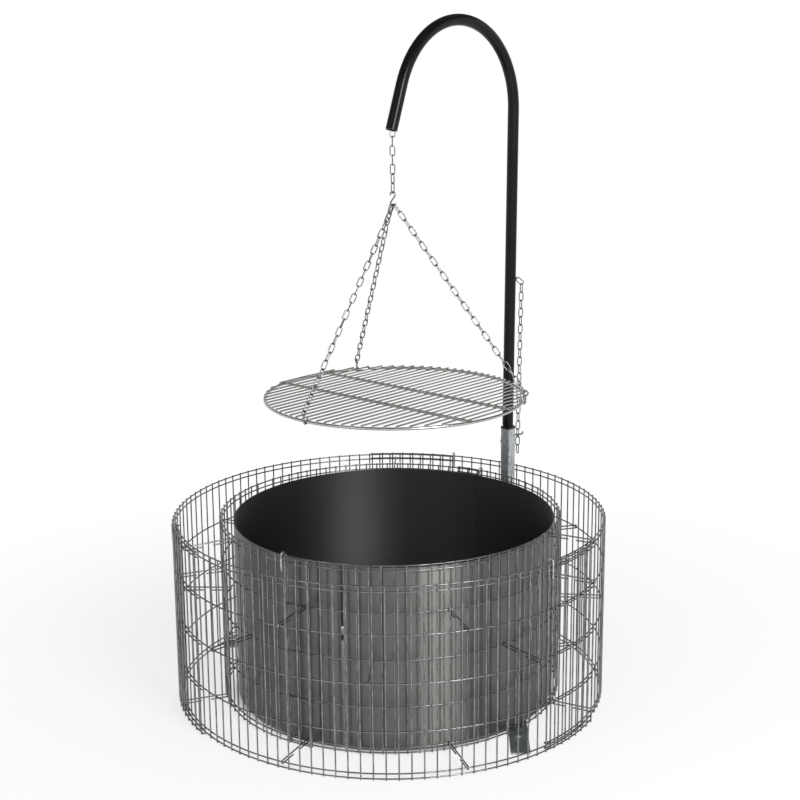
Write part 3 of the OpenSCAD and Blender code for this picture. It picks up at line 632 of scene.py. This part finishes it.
def white_floor(value):
    """A white floor that keeps the shadow near the ring. Inside the liner it is only lit."""
    # Shares of plain white in what the camera sees: beside the ring, and added further away.
    near_white, far_white = 0.7, 0.3
    mirrored_share = 0.5
    liner_radius, edge = LINER_MIDDLE - MM, 10 * MM
    material, tree, shader = new_material("white_floor", {"Roughness": 0.9,
                                                          "Base Color": rgba(value)})
    place = add_node(tree, "ShaderNodeTexCoord")
    far = add_node(tree, "ShaderNodeVectorMath", {0: place.outputs["Object"]},
                   operation="LENGTH").outputs["Value"]
    ring = spread(tree, far, low=liner_radius - edge, high=liner_radius + edge,
                  end=near_white)
    backdrop = spread(tree, far, low=0.6, high=1.6, end=far_white, ease="SMOOTHSTEP")
    white = combine(tree, "ADD", ring, backdrop)
    path = add_node(tree, "ShaderNodeLightPath")
    half = combine(tree, "MULTIPLY", mirrored_ray(tree, path), mirrored_share)
    shown = combine(tree, "MAXIMUM", path.outputs["Is Camera Ray"], half)
    glow = add_node(tree, "ShaderNodeEmission", {"Color": (1, 1, 1, 1), "Strength": 1.0})
    mixed = add_node(tree, "ShaderNodeMixShader",
                     {"Fac": combine(tree, "MULTIPLY", white, shown),
                      1: shader.outputs["BSDF"], 2: glow.outputs["Emission"]})
    out = next(n for n in tree.nodes if n.type == "OUTPUT_MATERIAL")
    tree.links.new(mixed.outputs["Shader"], out.inputs["Surface"])
    return material


def white_surroundings():
    """White where the camera looks. Overhead it is dimmer, and more so in reflections."""
    world = bpy.data.worlds.new("white_surroundings")
    world.use_nodes = True
    tree = world.node_tree
    tree.nodes.clear()
    way = add_node(tree, "ShaderNodeTexCoord")
    height = add_node(tree, "ShaderNodeSeparateXYZ",
                      {"Vector": way.outputs["Generated"]}).outputs["Z"]
    lit = spread(tree, height, low=0.6, high=0.95, start=0.8, end=0.3, ease="SMOOTHSTEP")
    seen = spread(tree, height, low=0.1, high=0.5, start=1.0, end=0.15, ease="SMOOTHSTEP")
    path = add_node(tree, "ShaderNodeLightPath")
    level = add_node(tree, "ShaderNodeMix",
                     {"Factor": mirrored_ray(tree, path), "A": lit, "B": seen})
    strength = combine(tree, "MAXIMUM", level.outputs["Result"],
                       path.outputs["Is Camera Ray"])
    light = add_node(tree, "ShaderNodeBackground",
                     {"Color": (1, 1, 1, 1), "Strength": strength})
    add_node(tree, "ShaderNodeOutputWorld", {"Surface": light.outputs["Background"]})
    return world


class SWINGGRILL_OT_studio(bpy.types.Operator):
    """Adds the floor, the soft lights, the white surroundings and the camera"""
    bl_idname = "swing_grill.studio"
    bl_label = "Studio"

    def execute(self, context):
        s = settings().studio
        deselect()
        # The floor lies just below the feet, so that no faces share a plane.
        bpy.ops.mesh.primitive_plane_add(size=s.floor_size, location=(0, 0, -0.5 * MM))
        floor = context.object
        floor.name = "studio_floor"
        floor.data.materials.append(white_floor(s.floor))

        context.scene.world = white_surroundings()

        soft_light("key_light", s.key_place, (0, 0, s.key_aim), s.lamp_size, s.key_power)
        soft_light("front_light", s.front_place, (0, 0, s.front_aim), s.lamp_size,
                   s.front_power)

        deselect()
        turn = (Matrix.Rotation(math.pi / 2 - s.camera_tilt, 4, "X")
                @ Matrix.Rotation(s.camera_roll, 4, "Z"))
        bpy.ops.object.camera_add(location=s.camera_place, rotation=turn.to_euler())
        camera = context.object
        camera.name = "studio_camera"
        camera.data.sensor_width = 36
        camera.data.lens = s.lens
        camera.data.clip_end = 100
        context.scene.camera = camera
        context.scene.view_settings.view_transform = "Standard"
        return {"FINISHED"}


class SWINGGRILL_PT_panel(bpy.types.Panel):
    """Lists the sizes, the colours and the steps"""
    bl_label = "Swing grill"
    bl_idname = "SWINGGRILL_PT_panel"
    bl_space_type = "VIEW_3D"
    bl_region_type = "UI"
    bl_category = "Swing grill"

    def draw(self, context):
        layout = self.layout
        for step in STEPS:
            layout.operator(step.bl_idname, text=step.bl_label)
        for title, group in (("Mesh ring", settings().mesh), ("Grate", settings().grate),
                             ("Welds", settings().weld),
                             ("Finishes", settings().finish),
                             ("Studio", settings().studio)):
            box = layout.box()
            box.label(text=title)
            for name in group.bl_rna.properties.keys():
                if name not in ("rna_type", "name"):
                    box.prop(group, name)


STEPS = (SWINGGRILL_OT_finishes, SWINGGRILL_OT_mesh_welds, SWINGGRILL_OT_grate_welds,
         SWINGGRILL_OT_link_seams, SWINGGRILL_OT_studio)
CLASSES = (MeshRingSizes, GrateSizes, WeldSizes, FinishColours, StudioSettings,
           SwingGrillSettings, *STEPS, SWINGGRILL_PT_panel)


def register():
    for cls in CLASSES:
        bpy.utils.register_class(cls)
    bpy.types.Scene.swing_grill = PointerProperty(type=SwingGrillSettings)


def unregister():
    del bpy.types.Scene.swing_grill
    for cls in reversed(CLASSES):
        bpy.utils.unregister_class(cls)


def main():
    register()
    bpy.ops.swing_grill.studio()
    bpy.ops.swing_grill.finishes()
    bpy.ops.swing_grill.mesh_welds()
    bpy.ops.swing_grill.grate_welds()
    bpy.ops.swing_grill.link_seams()


if __name__ == "__main__":
    main()
